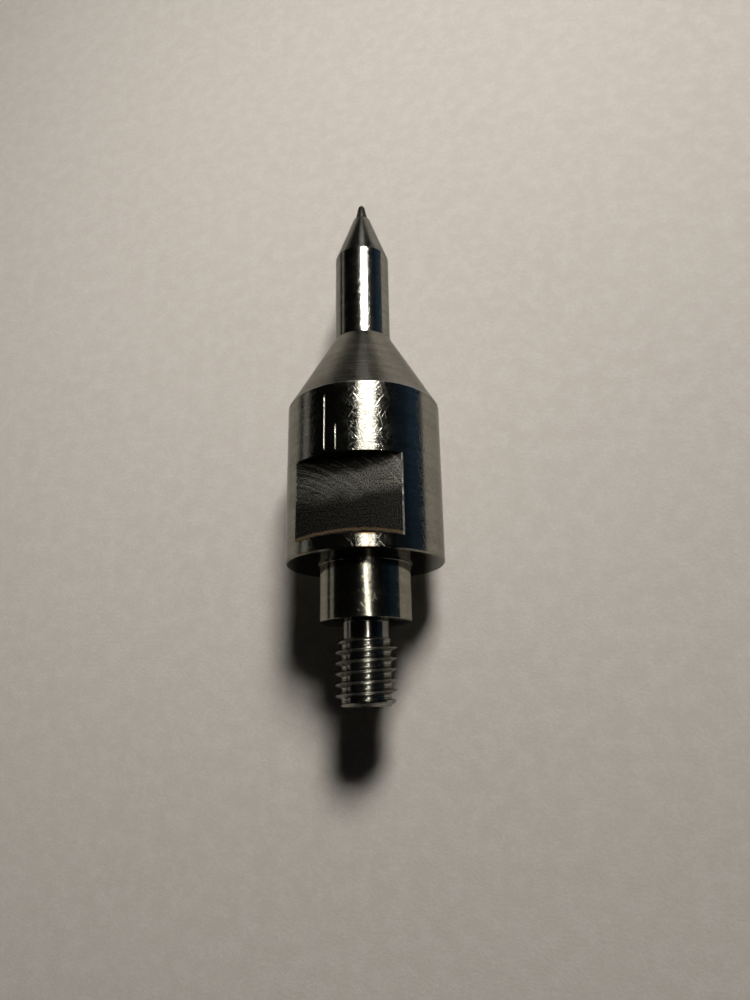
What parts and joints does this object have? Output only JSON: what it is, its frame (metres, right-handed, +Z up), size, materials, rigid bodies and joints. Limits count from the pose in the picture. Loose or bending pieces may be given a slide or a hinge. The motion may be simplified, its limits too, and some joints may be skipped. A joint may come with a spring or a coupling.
{
  "type": "live center",
  "caption": "Small live center: a spindle with a slim carbide point turns on ball bearings in a round housing with spanner flats, mounted by a register and threaded stud.",
  "frame": {"origin": "on the axis, at the rear face of the housing, where the centre seats on the tool that holds it", "axes": "+Y along the axis towards the carbide point, +Z up through the middle of one spanner flat, +X to the right of someone looking along +Y"},
  "size_m": [0.016, 0.0567, 0.016],
  "materials": {
    "housing_steel": "turned and ground, milled on the flats",
    "spindle_steel": "ground and polished, turned on the point",
    "carbide": "ground carbide, dark grey",
    "shank_steel": "turned register, cut thread",
    "seal_rubber": "black rubber",
    "bearing_steel": "ground bearing steel",
    "ball_steel": "polished ball",
    "cage_brass": "pressed brass",
    "shield_steel": "pressed sheet",
    "sleeve_steel": "turned",
    "spring_steel": "blackened spring steel",
    "shim_brass": "rolled shim"
  },
  "bodies": {
    "housing_body": {"housing": "housing_steel", "mounting_shank": "shank_steel", "nose_seal": "seal_rubber", "front_bearing_outer_ring": "bearing_steel", "front_bearing_front_shield": "shield_steel", "front_bearing_rear_shield": "shield_steel", "outer_spacer_sleeve": "sleeve_steel", "rear_bearing_outer_ring": "bearing_steel", "rear_bearing_front_shield": "shield_steel", "rear_bearing_rear_shield": "shield_steel", "thrust_rear_washer": "bearing_steel", "disc_spring": "spring_steel", "preload_shim": "shim_brass"},
    "spindle_body": {"spindle": "spindle_steel", "carbide_tip": "carbide", "front_bearing_inner_ring": "bearing_steel", "inner_spacer_sleeve": "sleeve_steel", "rear_bearing_inner_ring": "bearing_steel", "retaining_ring": "spring_steel", "thrust_front_washer": "bearing_steel"},
    "front_cage_body": {"front_bearing_balls": "ball_steel", "front_bearing_cage": "cage_brass"},
    "rear_cage_body": {"rear_bearing_balls": "ball_steel", "rear_bearing_cage": "cage_brass"},
    "thrust_cage_body": {"thrust_balls": "ball_steel", "thrust_cage": "cage_brass"}
  },
  "joints": [
    {"name": "spindle_spin", "type": "hinge", "parent": "housing_body", "child": "spindle_body", "pos_m": [0, 0.0155, 0], "axis": [0, 1, 0], "continuous": true},
    {"name": "front_cage_spin", "type": "hinge", "parent": "housing_body", "child": "front_cage_body", "pos_m": [0, 0.019, 0], "axis": [0, 1, 0], "continuous": true},
    {"name": "rear_cage_spin", "type": "hinge", "parent": "housing_body", "child": "rear_cage_body", "pos_m": [0, 0.0126, 0], "axis": [0, 1, 0], "continuous": true},
    {"name": "thrust_cage_spin", "type": "hinge", "parent": "housing_body", "child": "thrust_cage_body", "pos_m": [0, 0.008, 0], "axis": [0, 1, 0], "continuous": true}
  ],
  "couplings": [
    {"joint": "front_cage_spin", "follows": "spindle_spin", "ratio": 0.4143},
    {"joint": "rear_cage_spin", "follows": "spindle_spin", "ratio": 0.4143},
    {"joint": "thrust_cage_spin", "follows": "spindle_spin", "ratio": 0.5}
  ]
}
